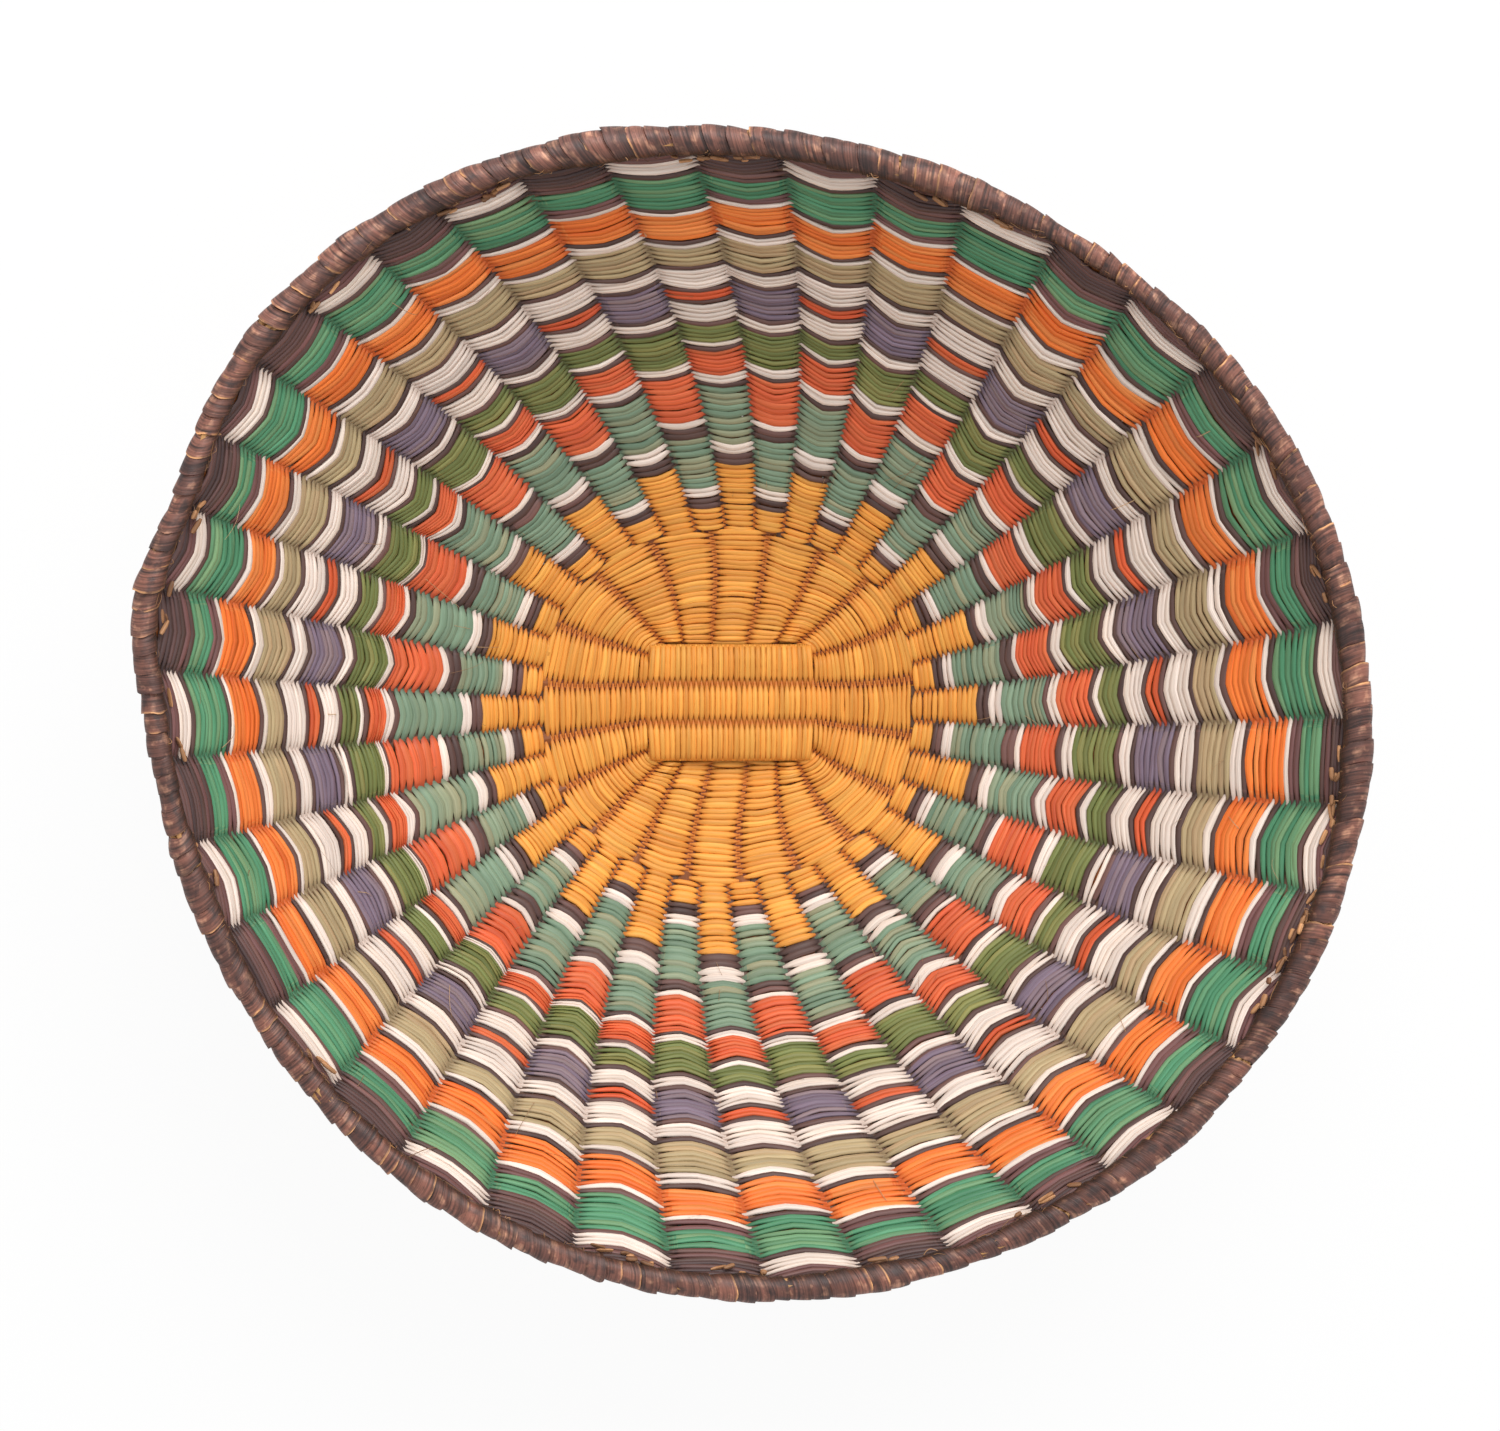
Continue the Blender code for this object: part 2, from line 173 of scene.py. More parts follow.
def wavy(count, knots, amount):
    """Smooth closed noise at count stations."""
    values = rng.normal(0, amount, knots)
    place = np.arange(count) * knots / count
    low = np.floor(place).astype(int)
    part = place - low
    part = part * part * (3 - 2 * part)
    return mix(values[low % knots], values[(low + 1) % knots], part)


def rim_reach(turn):
    """How far out the middle of the rim is at an angle."""
    return (
        rim_line_radius
        + rim_oval * np.cos(2 * (turn - rim_oval_turn))
        + rim_lobe * np.cos(3 * (turn - rim_lobe_turn))
        + rim_corner * np.cos(4 * (turn - rim_corner_turn))
        + rim_shift * np.cos(turn - rim_shift_turn)
    )


def swell(turn, middle, amount):
    """A bump of the rim round one angle."""
    away = ((turn - middle + math.pi) % math.tau - math.pi) / rim_dent_spread
    return amount * np.exp(-away * away)


def panel_reach(turn):
    """How far out the edge of the plaited centre is: an oblong with rounded corners."""
    along = np.abs(np.cos(turn)) / (panel_half_length + panel_margin)
    across = np.abs(np.sin(turn)) / (panel_half_width + panel_margin)
    return (along**panel_corner_power + across**panel_corner_power) ** (-1 / panel_corner_power)


def reach(turn, rise):
    """How far the bowl goes out at an angle; the rise is 0 at the plaited centre, 1 at the rim."""
    up = np.maximum(rise, 0)
    bumps = swell(turn, rim_bulge_turn, rim_bulge) - swell(turn, rim_dent_turn, rim_dent)
    return (
        mix(panel_mean, rim_line_radius, rise)
        + (panel_reach(turn) - panel_mean) * np.maximum(1 - rise, 0) ** panel_fade_power
        + (rim_reach(turn) - rim_line_radius) * up**rim_fade_power
        + bumps * up**bulge_fade_power
    )


def rim_middle():
    """The middle of the box round the rim, which goes to the origin."""
    turns = math.tau * np.arange(720) / 720
    edge = reach(turns, 1) + binding_radius
    x, y = edge * np.cos(turns), edge * np.sin(turns)
    return (x.max() + x.min()) / 2, (y.max() + y.min()) / 2


shift_x, shift_y = rim_middle()


def bowl_points(turn, rise, lift):
    """Points of the bowl, moved by lift along the wall's normal towards the inside."""
    turn, rise, lift = np.broadcast_arrays(turn, rise, lift)
    up = np.maximum(rise, 0)
    slope = np.arctan2(2 * bowl_height * up, wall_run)
    far = reach(turn, rise) - np.sin(slope) * lift
    return np.stack(
        [
            far * np.cos(turn) - shift_x,
            far * np.sin(turn) - shift_y,
            base_level + bowl_height * up**2 + np.cos(slope) * lift,
        ],
        axis=-1,
    )


def rise_length(rise):
    """The length of wall that one whole rise would have at a place."""
    return np.hypot(wall_run, 2 * bowl_height * np.maximum(rise, 0))


rise_table = np.linspace(-0.1, 1.1, 2401)
length_table = np.concatenate(
    [[0], np.cumsum(rise_length((rise_table[1:] + rise_table[:-1]) / 2) * np.diff(rise_table))]
)
length_table -= np.interp(0, rise_table, length_table)


def rise_at(length):
    """The rise at a length of wall from the plaited centre."""
    return np.interp(length, length_table, rise_table)


def row_drift(turn, rise):
    """How far up the wall the strands have crept at a place, as a rise."""
    all_round = np.interp(
        rise,
        [0.31, 0.36, 0.47, 0.51, 0.57, 0.75, 0.87, 0.95, 1],
        [0, -0.002, 0.021, 0.0235, 0.0095, -0.0005, 0.008, 0.0085, 0.002],
    )
    middle = np.interp(rise, [0.05, 0.28, 0.5, 0.7, 0.81, 0.88], [0, 0.6, 1, 0.45, 0.2, 0])
    coral = np.interp(rise, [0.33, 0.41, 0.47], [0, 1, 0])
    olive = np.interp(rise, [0.44, 0.51, 0.57], [0, 1, 0])
    khaki = np.interp(rise, [0.5, 0.58, 0.72, 0.78], [0, 1, 1, 0])
    upper = np.interp(rise, [0.78, 0.9, 0.95, 1], [0, 1, 1, 0.3])
    lobes = np.interp(rise, [0.44, 0.53, 0.77, 0.92], [0, 1, 0.75, 0])
    return (
        all_round
        + middle
        * (
            -0.0155 * np.cos(turn)
            - 0.0117 * np.sin(turn)
            - 0.005 * np.cos(2 * turn)
            + 0.0085 * np.sin(2 * turn)
        )
        + coral * (0.009 * np.cos(turn - math.radians(325)) - 0.005 * np.cos(2 * turn))
        - olive * 0.014 * np.cos(turn)
        + khaki * 0.0045 * np.sin(turn)
        + upper * 0.007 * np.cos(turn - math.radians(326))
        + lobes * 0.012 * np.cos(3 * (turn - math.radians(77)))
    )


def wall_turn(rib, rise):
    """The angle of rib lines of the wall: main ribs have even numbers, added ones odd."""
    even = math.tau * rib / wall_ribs
    start = (
        fan_offset
        + fan_drift * np.cos(even - fan_drift_turn)
        + fan_sway * np.cos(2 * (even - fan_sway_turn))
    )
    lean = (
        lean_mean
        + lean_drift * np.cos(even - lean_drift_turn)
        + lean_sway * np.cos(2 * (even - lean_sway_turn))
    )
    return even + start + lean * (rise - split_share) / (1 - split_share)


def start_turns():
    """The angles at which the inner ribs leave the plaited centre, and the first one again."""
    crosswise = math.atan2(panel_rib_pitch, panel_half_length + panel_margin)
    lengthwise = math.atan2(panel_half_width + panel_margin, panel_rib_pitch)
    step = (lengthwise - crosswise) / 3
    quarter = [0, crosswise, crosswise + step, lengthwise - step, lengthwise]
    mirrored = [math.pi / 2] + quarter[:0:-1]
    turns = []
    for side in range(4):
        corner = side * math.pi / 2
        if side % 2 == 0:
            turns += [corner + turn for turn in quarter]
        else:
            turns += [corner + math.pi / 2 - turn for turn in mirrored]
    return np.array(turns + [turns[0] + math.tau])


starts = start_turns()

# 1 by a rib of the crosswise layer of the centre, -1 by the lengthwise one and 0 by a diagonal
layer_sides = np.zeros(inner_ribs + 1)
layer_sides[[0, 1, 9, 10, 11, 19, 20]] = 1
layer_sides[[4, 5, 6, 14, 15, 16]] = -1


def inner_turn(rib, rise):
    """The angle of rib lines near the centre, rib counting from nought to twenty."""
    start = np.interp(rib, np.arange(inner_ribs + 1), starts)
    share = np.clip(rise / split_share, 0, 1)
    return mix(start, wall_turn(2 * rib, rise), share * (2 - share))


def rib_lift(rib, rise):
    """How far the ribs are above the bowl where they leave the layers of the centre."""
    fall = np.clip(1 - rise / lift_end_share, 0, 1)
    side = np.interp(rib, np.arange(inner_ribs + 1), layer_sides)
    return side * panel_lift * start_lift_share * fall


def tube(points, closed):
    """Quads of a tube whose points come as stations by sides, with ends of quads if it is open."""
    stations, around = points.shape[:2]
    index = np.arange(stations * around).reshape(stations, around)
    first = index if closed else index[:-1]
    second = np.roll(index, -1, axis=0) if closed else index[1:]
    quads = np.stack(
        [first, np.roll(first, -1, axis=1), np.roll(second, -1, axis=1), second], axis=-1
    ).reshape(-1, 4)
    if closed:
        return quads
    fans = [
        (end[place], end[place + 1], end[around - place - 2], end[around - place - 1])
        for end in (index[0][::-1], index[-1])
        for place in range(around // 2 - 1)
    ]
    return np.concatenate([quads, np.array(fans)])


def fields(shape, *values):
    """Values at each point of a strand, put together as vectors."""
    return np.stack([np.broadcast_to(value, shape) for value in values], axis=-1)


def tones(shape, over=1, arc=None):
    """What the tone depends on: a number of the strand, how far over a rib, a number of the arc."""
    strand = rng.random()
    return fields(shape, strand, over, rng.random() if arc is None else arc)


def show(name, data):
    """A new object in the scene."""
    thing = bpy.data.objects.new(name, data)
    bpy.context.scene.collection.objects.link(thing)
    return thing


class Batch:
    """Strands gathered for one piece, with where their fibres run and what their tone is."""

    def __init__(self):
        self.points, self.quads, self.fibre, self.tone = [], [], [], []
        self.count = 0

    def add(self, points, closed, fibre, tone):
        self.quads.append(tube(points, closed) + self.count)
        for gathered, values in ((self.points, points), (self.fibre, fibre), (self.tone, tone)):
            gathered.append(values.reshape(-1, 3))
        self.count += points.size // 3

    def make(self, name, material, slot, replaced=()):
        points, quads = np.concatenate(self.points), np.concatenate(self.quads)
        mesh = bpy.data.meshes.new(name)
        mesh.vertices.add(len(points))
        mesh.vertices.foreach_set("co", points.astype(np.float32).ravel())
        mesh.loops.add(quads.size)
        mesh.loops.foreach_set("vertex_index", quads.astype(np.int32).ravel())
        mesh.polygons.add(len(quads))
        mesh.polygons.foreach_set("loop_start", np.arange(0, quads.size, 4, dtype=np.int32))
        mesh.polygons.foreach_set("loop_total", np.full(len(quads), 4, np.int32))
        mesh.update(calc_edges=True)
        mesh.validate()
        mesh.shade_smooth()
        mesh.set_sharp_from_angle(angle=sharp_angle)
        for key, values in (("fibre", self.fibre), ("tone", self.tone)):
            attribute = mesh.attributes.new(key, "FLOAT_VECTOR", "POINT")
            attribute.data.foreach_set("vector", np.concatenate(values).astype(np.float32).ravel())
        mesh.materials.append(material)
        piece = show(name, mesh)
        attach(piece, "root")
        if replaced:
            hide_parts(*replaced)


# The weave

bows = rng.uniform(*bow_range, wall_ribs)
bow_turns = rng.uniform(*bow_turn_range, wall_ribs)


def bow(rib, rise):
    """How far the strands are drawn towards the centre on top of each rib."""
    number = np.round(rib).astype(int) % wall_ribs
    amount = np.clip(bows[number] + bow_turns[number] * (rise - bow_full), *bow_limits)
    away = 2 * np.abs(rib - np.round(rib))
    share = amount * (1 - away**bow_power) - bow_mean
    return rib_bow * smooth(rise, bow_start, bow_full) * share


broad_settling = rng.normal(0, broad_push, (broad_rows, wall_ribs))
close_settling = rng.normal(0, close_push, (close_rows, wall_ribs * 2))


def settled(grid, cell, share, length):
    """How far the strands hereabouts have been pushed out of line, alike in neighbouring rows."""
    across = np.clip(length / cell, 0, len(grid) - 1 - grid_margin)
    around = grid.shape[1]
    along = share * around
    low_row, low_rib = np.floor(across).astype(int), np.floor(along).astype(int)
    part = smooth(across - low_row, 0, 1)
    side = smooth(along - low_rib, 0, 1)
    low = mix(grid[low_row, low_rib % around], grid[low_row, (low_rib + 1) % around], side)
    high = mix(grid[low_row + 1, low_rib % around], grid[low_row + 1, (low_rib + 1) % around], side)
    return mix(low, high, part)


def row(batch, length, ribs, parity):
    """One strand all round: over the ribs of its parity and under the others."""
    inner = ribs == inner_ribs
    stations = ribs * rib_steps
    rib = np.arange(stations) / rib_steps
    wave = np.cos(math.pi * (rib - parity))
    crest = np.abs(wave)
    high = np.sign(wave) * crest ** (inner_wave_power if inner else wall_wave_power)
    close = smooth(length, close_start, close_full)
    moved = settled(broad_settling, broad_cell, rib / ribs, length)
    moved = moved + settled(close_settling, close_cell, rib / ribs, length) * close
    length = length + moved * np.clip(length / settling_start, 0, 1)
    length = length + wavy(stations, ribs, row_sway) + wavy(stations, ribs * 2, row_shake)
    rise = rise_at(length)
    even = math.tau * rib / ribs
    above, below = rise_at(length + row_pitch), rise_at(length - row_pitch)
    spread = 1 + (row_drift(even, above) - row_drift(even, below)) / (above - below)
    rise = rise + row_drift(even, rise)
    if inner:
        turn = inner_turn(rib, rise)
        base = rib_lift(rib, rise)
    else:
        rise = rise - bow(rib, rise) / rise_length(rise)
        turn = wall_turn(rib, rise)
        base = np.zeros(stations)
    strand_lift = mix(inner_lift, outer_lift, smooth(rise, *lift_change))
    lift = base + high * strand_lift * (1 + wavy(stations, ribs, lift_unevenness))
    uneven = 1 + wavy(stations, ribs, width_unevenness) + wavy(stations, ribs * 2, width_roughness)
    tip = mix(inner_tip_share, wall_tip_share, smooth(rise, *tip_change))
    half = row_pitch / 2 * mix(tip, crest_share, smooth(crest, *broadening)) * uneven * spread
    thick = strand_thickness / 2 * mix(valley_thickness_share, 1, crest)
    thick = thick * (1 + wavy(stations, ribs, thickness_unevenness))
    across = half[:, None] * section_across
    over = lift[:, None] + thick[:, None] * section_over
    points = bowl_points(turn[:, None], rise[:, None] + across / rise_length(rise)[:, None], over)
    radius = reach(turn, rise)
    x, y = radius * np.cos(turn), radius * np.sin(turn)
    arcs = rng.random(ribs)[np.round(rib).astype(int) % ribs]
    shape = (stations, sides)
    fibre = fields(shape, x[:, None], y[:, None], across)
    batch.add(points, True, fibre, tones(shape, high[:, None], arcs[:, None]))


# The strands of each set from the split to the rim, as colours with their counts
main_rows = (
    ("brown", 2), ("white", 2), ("teal", 9), ("brown", 1), ("white", 2), ("coral", 6),
    ("brown", 1), ("white", 1), ("olive", 4), ("brown", 1), ("white", 4), ("brown", 1),
    ("red", 2), ("brown", 1), ("white", 5), ("brown", 1), ("khaki", 4), ("white", 1),
    ("brown", 1), ("orange", 6), ("white", 1), ("brown", 1), ("green", 8), ("brown", 1),
    ("white", 3), ("maroon", 2),
)
# The last rows of this set, by the rim, are a brown darkened as painted shade from the rim above
# them
added_rows = (
    ("brown", 2), ("white", 2), ("teal", 9), ("brown", 2), ("white", 1), ("coral", 8),
    ("brown", 1), ("white", 2), ("olive", 8), ("brown", 1), ("white", 2), ("brown", 1),
    ("purple", 7), ("brown", 1), ("white", 3), ("brown", 1), ("khaki", 6), ("white", 2),
    ("brown", 1), ("orange", 6), ("white", 1), ("maroon", 2), ("green", 4), ("brown", 1),
    ("maroon", 1), ("brown", 1), ("umber", 3),
)
batches = {}


def batch_of(colour, kind):
    return batches.setdefault((colour, kind), Batch())


def weave(kind, rows, parity, offset):
    """The rows of one set, counted down from the rim: the last ones are on the inner ribs."""
    colours = [colour for colour, count in rows for _ in range(count)]
    # The rows under the rim take the same brown with painted shade
    colours += ["umber"] * rows_under_rim
    split_length = float(np.interp(first_added_rise, rise_table, length_table))
    length = weave_end - offset + row_pitch * rows_past_end
    for colour in reversed(colours):
        row(batch_of(colour, kind), length, wall_ribs, parity)
        length -= row_pitch
    while length > split_length:
        row(batch_of("gold", kind), length, wall_ribs, parity)
        length -= row_pitch
    while length > centre_end:
        row(batch_of("gold", f"inner_{kind}"), length, inner_ribs, parity)
        length -= row_pitch


weave("main", main_rows, 0, 0)
weave("added", added_rows, 1, row_pitch / 2)


def panel_rows(kind, half_span, level, crosswise):
    """Strands over and under the three ribs of one layer of the plaited centre."""
    batch = batch_of("gold", kind)
    count = int(2 * half_span / (panel_pitch / 2))
    place = np.linspace(-strand_end, strand_end, panel_ribs * rib_steps + 1)
    place = np.concatenate([-tucked_places[::-1], place, tucked_places])
    out = np.abs(place)
    for number in range(count):
        along = -half_span + (number + 0.5) * 2 * half_span / count
        wave = np.cos(math.pi * (place - number))
        high = np.sign(wave) * np.abs(wave) ** panel_wave_power
        high[:2] = tucked_heights[::-1]
        high[-2:] = tucked_heights
        shade = np.where(out > end_shade_from, end_shade, high)
        crest = np.where(out > end_crest_from, end_crest, np.abs(wave))
        width = mix(panel_tip_share, panel_crest_share, smooth(crest, *broadening))
        half = panel_pitch / 2 * width * (1 + rng.normal(0, panel_unevenness, len(place)))
        thick = strand_thickness / 2 * mix(panel_valley_thickness_share, 1, crest)
        corner = (2 * place / panel_ribs) ** 2 * (along / half_span) ** corner_draw_power
        drawn = 1 - corner_draw_share * corner
        across = half[:, None] * section_across
        side = (along * drawn)[:, None] + rng.normal(0, strand_jitter) + across
        cross = (place * panel_rib_pitch)[:, None] * np.ones(sides)
        up = level + (high * inner_lift)[:, None] + thick[:, None] * section_over
        x, y = (side, cross) if crosswise else (cross, side)
        points = np.stack([x - shift_x, y - shift_y, up], axis=-1)
        fibre = fields(up.shape, cross, up, across)
        batch.add(points, False, fibre, tones(up.shape, shade[:, None]))


panel_rows("upper_panel", panel_half_length + panel_overhang, base_level + panel_lift, True)
panel_rows("lower_panel", panel_half_width + panel_overhang, base_level - panel_lift, False)


def side_reeds(ribs, turn_of, low, high, share, lift_of):
    """Flat reeds that lie beside the ribs, where the strands of both sets cross; their dark brown
    is partly their own and partly painted shade for the gaps between the strands.
    """
    batch = Batch()
    stations, half_thickness = 48, 0.00028
    knots, unevenness = 12, 0.1
    rise = np.linspace(low, high, stations)
    for number in range(ribs):
        rib = np.full(stations, number + 0.5)
        turn = turn_of(rib, rise)
        radius = reach(turn, rise)
        half = share * math.pi * radius / ribs * (1 + wavy(stations, knots, unevenness))
        across = half[:, None] * section_across
        lift = lift_of(rib, rise)[:, None] + half_thickness * section_over
        points = bowl_points(turn[:, None] + across / radius[:, None], rise[:, None], lift)
        along = np.interp(rise, rise_table, length_table)[:, None]
        batch.add(points, False, fields(across.shape, along, 0, across), tones(across.shape))
    return batch


inner_reeds = side_reeds(
    inner_ribs, inner_turn, low=-0.03, high=split_share + 0.012, share=0.24, lift_of=rib_lift
)
wall_reeds = side_reeds(
    wall_ribs,
    wall_turn,
    low=split_share - 0.005,
    high=0.995,
    share=0.4,
    lift_of=lambda rib, rise: np.zeros_like(rise),
)

# The rim: bent rib ends in a bundle, wrapped with flat strips, with loose bits and hairs

wrap_count = 188
rim_stations = 752
rim_lumps = wavy(rim_stations, 94, 0.00024) + wavy(rim_stations, 31, 0.0004)
rim_heights = wavy(rim_stations, 43, 0.0003)
hair_angles = math.tau * np.arange(4) / 4


def ring_value(table, turn):
    """A table of the whole ring, read at any turn."""
    place = np.mod(turn / math.tau, 1) * len(table)
    low = np.floor(place).astype(int) % len(table)
    return mix(table[low], table[(low + 1) % len(table)], place - np.floor(place))


def rim_points(turn, angle, far):
    """Points round the rim's middle line: angle nought is outward, a quarter turn is up."""
    turn, angle, far = np.broadcast_arrays(turn, angle, far)
    middle = bowl_points(turn, 1, 0)
    outward = np.stack([np.cos(turn), np.sin(turn), 0 * turn], axis=-1)
    size = far + ring_value(rim_lumps, turn)
    points = middle + outward * (size * np.cos(angle))[..., None]
    points[..., 2] += size * np.sin(angle) + ring_value(rim_heights, turn)
    return points


def rim_bundle():
    """The rods of the rim, which show between the strips where these leave a gap."""
    batch = Batch()
    rods, stations, around = 9, 360, 6
    ring_radius, rod_radius = 0.0025, 0.00115
    turn = math.tau * np.arange(stations) / stations
    angle = math.tau * np.arange(around) / around
    outward = np.stack([np.cos(turn), np.sin(turn), 0 * turn], axis=-1)
    upward = np.array([0, 0, 1.0])
    section = (
        outward[:, None, :] * (rod_radius * np.cos(angle))[None, :, None]
        + upward * (rod_radius * np.sin(angle))[None, :, None]
    )
    shape = (stations, around)
    for number in range(rods):
        place = math.tau * number / rods + wavy(stations, 24, 0.12)
        far = ring_radius + wavy(stations, 40, 0.00015)
        centre = rim_points(turn, place, far)
        across = rod_radius * np.cos(angle)
        fibre = fields(shape, centre[:, :1], centre[:, 1:2], across)
        batch.add(centre[:, None, :] + section, True, fibre, tones(shape))
    return batch


def rim_wraps():
    """Flat strips wound round the bundle, each with one edge on top of the next strip."""
    batch = Batch()
    around, across = 24, 7
    half_width, radius, thickness = 0.0039, 0.0041, 0.00045
    inward_run = 0.0045
    edge_lift, middle_lift, lift_spread = 0.00034, 0.0002, 0.5
    slant_mean, slant_spread, slant_top = math.radians(0.5), 0.12, 0.9
    place_spread, width_spread, radius_spread = 0.08, 0.08, 0.00012
    angle = math.tau * np.arange(around) / around
    edges = np.linspace(-1, 1, across)
    slants = slant_mean * (1 + wavy(wrap_count, 30, 0.45))
    for number in range(wrap_count):
        turn = math.tau * (number + rng.normal(0, place_spread)) / wrap_count
        width = about(half_width, width_spread)
        far = radius + rng.normal(0, radius_spread)
        tilt = about(edge_lift, lift_spread)
        arch = about(middle_lift, lift_spread)
        slant = about(slants[number], slant_spread)
        profile = (width + wavy(around, 9, 0.0003))[:, None] * edges
        turns = turn + slant * np.cos(angle - slant_top)[:, None] + profile / reach(turn, 1)
        lumpy = far + wavy(around, 6, 0.0002)[:, None] + tilt * edges + arch * (1 - edges**2)
        rings = [rim_points(turns, angle[:, None], lumpy - depth) for depth in (0, thickness)]
        points = np.concatenate([rings[0], rings[1][:, ::-1]], axis=1)
        run = np.concatenate([profile, profile[:, ::-1]], axis=1)
        edge = np.concatenate([edges, edges[::-1]])
        inward = (inward_run * np.abs(angle - math.pi))[:, None]
        batch.add(points, True, fields(run.shape, inward, 0, run), tones(run.shape, edge))
    return batch


def rim_ends():
    """Broken ends of rods and strips that lie in clusters along the rim's inner side."""
    batch = Batch()
    count, stations = 96, 6
    cluster_count, cluster_spread = 26, 0.028
    half_thickness = 0.0006
    clusters = rng.uniform(0, math.tau, cluster_count)
    taper = np.array([0.5, 0.9, 1, 0.95, 1, 0.7])[:, None]
    for number in range(count):
        length = rng.uniform(0.002, 0.0065)
        wide = rng.uniform(0.0004, 0.0011)
        tilt = rng.normal(0, 0.3)
        along = (np.linspace(-0.5, 0.5, stations) * length)[:, None]
        across = wide * taper * section_across
        turn = clusters[number % cluster_count] + rng.normal(0, cluster_spread)
        points = bowl_points(
            turn + (along * math.cos(tilt) - across * math.sin(tilt)) / rim_line_radius,
            rng.uniform(0.974, 0.988)
            + (along * math.sin(tilt) + across * math.cos(tilt)) / rise_length(1),
            rng.uniform(0.002, 0.0042) + half_thickness * taper * section_over,
        )
        batch.add(points, False, fields(across.shape, along, 0, across), tones(across.shape))
    return batch


def rim_fibres():
    """Fine loose fibres on the inner side of the rim."""
    batch = Batch()
    count, stations, lowest = 220, 6, 0.0045
    share = np.linspace(0, 1, stations)
    shape = (stations, len(hair_angles))
    for _ in range(count):
        turn = rng.uniform(0, math.tau) + rng.normal(0, 0.012) * share
        turn = turn + rng.normal(0, 0.008) * share**2
        place = rng.uniform(2.3, 3.6) + rng.normal(0, 0.3) * share
        far = lowest + abs(rng.normal(0, 0.0006)) * np.sin(math.pi * share)
        thick = rng.uniform(0.00007, 0.00014)
        points = rim_points(
            turn[:, None] + thick * np.cos(hair_angles) / rim_line_radius,
            place[:, None],
            far[:, None] + thick * np.sin(hair_angles),
        )
        fibre = fields(shape, turn[:, None] * rim_line_radius, 0, 0)
        batch.add(points, False, fibre, tones(shape))
    return batch


def wall_fibres():
    """Loose hairs that have come off the strands of the wall."""
    batch = Batch()
    count, stations = 70, 9
    mean_radius, lowest = 0.12, outer_lift + 0.0006
    share = np.linspace(0, 1, stations)
    shape = (stations, len(hair_angles))
    for _ in range(count):
        length = rng.uniform(0.003, 0.012)
        turn = rng.uniform(0, math.tau) + rng.normal(0, 0.6) * length / mean_radius * share
        start = rng.uniform(0.3, 0.95)
        bend = rng.normal(0, 0.5) * share + rng.normal(0, 0.4) * share**2
        rise = start + bend * (length / wall_run)
        lift = lowest + length * rng.uniform(0.05, 0.2) * np.sin(math.pi * share)
        thick = rng.uniform(0.00006, 0.00012)
        points = bowl_points(
            turn[:, None] + thick * np.cos(hair_angles) / mean_radius,
            rise[:, None],
            lift[:, None] + thick * np.sin(hair_angles),
        )
        batch.add(points, False, fields(shape, length * share[:, None], 0, 0), tones(shape))
    return batch


# The materials


def linear(*levels):
    """A colour given in bytes, as the light that it stands for."""
    return (
        *(
            (level / 255 / 12.92) if level <= 10 else ((level / 255 + 0.055) / 1.055) ** 2.4
            for level in levels
        ),
        1,
    )


class Tree:
    """The nodes of a material or of the world, made and linked one at a time."""

    def __init__(self, owner):
        owner.use_nodes = True
        self.owner = owner
        self.nodes = owner.node_tree.nodes
        self.links = owner.node_tree.links

    def give(self, socket, value):
        """Link a socket to another one, or set it to a value."""
        if isinstance(value, bpy.types.NodeSocket):
            self.links.new(value, socket)
        else:
            socket.default_value = value

    def add(self, kind, inputs, **settings):
        node = self.nodes.new(f"ShaderNode{kind}")
        for name, value in settings.items():
            setattr(node, name, value)
        for place, value in inputs.items():
            self.give(node.inputs[place], value)
        return node

    def math(self, operation, *values):
        return self.add("Math", dict(enumerate(values)), operation=operation).outputs[0]

    def ramp(self, value, low, high, bottom=0, top=1, **settings):
        """A value from low to high, as one from bottom to top."""
        inputs = {"From Min": low, "From Max": high, "To Min": bottom, "To Max": top}
        return self.add("MapRange", {"Value": value, **inputs}, **settings).outputs["Result"]

    def blend(self, share, first, second):
        inputs = {"Factor": share, "A": first, "B": second}
        return self.add("Mix", inputs, data_type="RGBA").outputs["Result"]

    def scaled(self, colour, level):
        inputs = {0: colour, "Scale": level}
        return self.add("VectorMath", inputs, operation="SCALE").outputs["Vector"]

    def surface(self, colour, roughness, height, strength, depth):
        """The shader with its colour, its roughness and the bump of its grain."""
        shader = self.nodes["Principled BSDF"]
        bump = self.add("Bump", {"Strength": strength, "Distance": depth, "Height": height})
        self.give(shader.inputs["Base Color"], colour)
        self.give(shader.inputs["Roughness"], roughness)
        self.give(shader.inputs["Normal"], bump.outputs["Normal"])
        return shader

    def background_rays(self):
        """1 for rays that show the background: the camera's, mirrored ones and those in glass."""
        path = self.add("LightPath", {}).outputs
        seen = self.math("MAXIMUM", path["Is Camera Ray"], path["Is Glossy Ray"])
        return self.math("MAXIMUM", seen, path["Is Transmission Ray"])


class StrandTree(Tree):
    """The nodes of a strand's material, which follow its fibre and its tone."""

    def __init__(self, name, seed_step):
        super().__init__(bpy.data.materials.new(name))
        self.fibre = self.add("Attribute", {}, attribute_name="fibre").outputs["Vector"]
        tone = self.add("Attribute", {}, attribute_name="tone").outputs["Vector"]
        strand, self.over, self.arc = self.add("SeparateXYZ", {0: tone}).outputs
        self.seed = self.math("MULTIPLY", strand, seed_step)

    def grain(self, scale, detail):
        """Noise stretched along the fibre, another one on each strand."""
        place = self.add("VectorMath", {0: self.fibre, 1: scale}, operation="MULTIPLY")
        inputs = {"Scale": 1, "Detail": detail, "Vector": place.outputs["Vector"], "W": self.seed}
        return self.add("TexNoise", inputs, noise_dimensions="4D").outputs["Fac"]


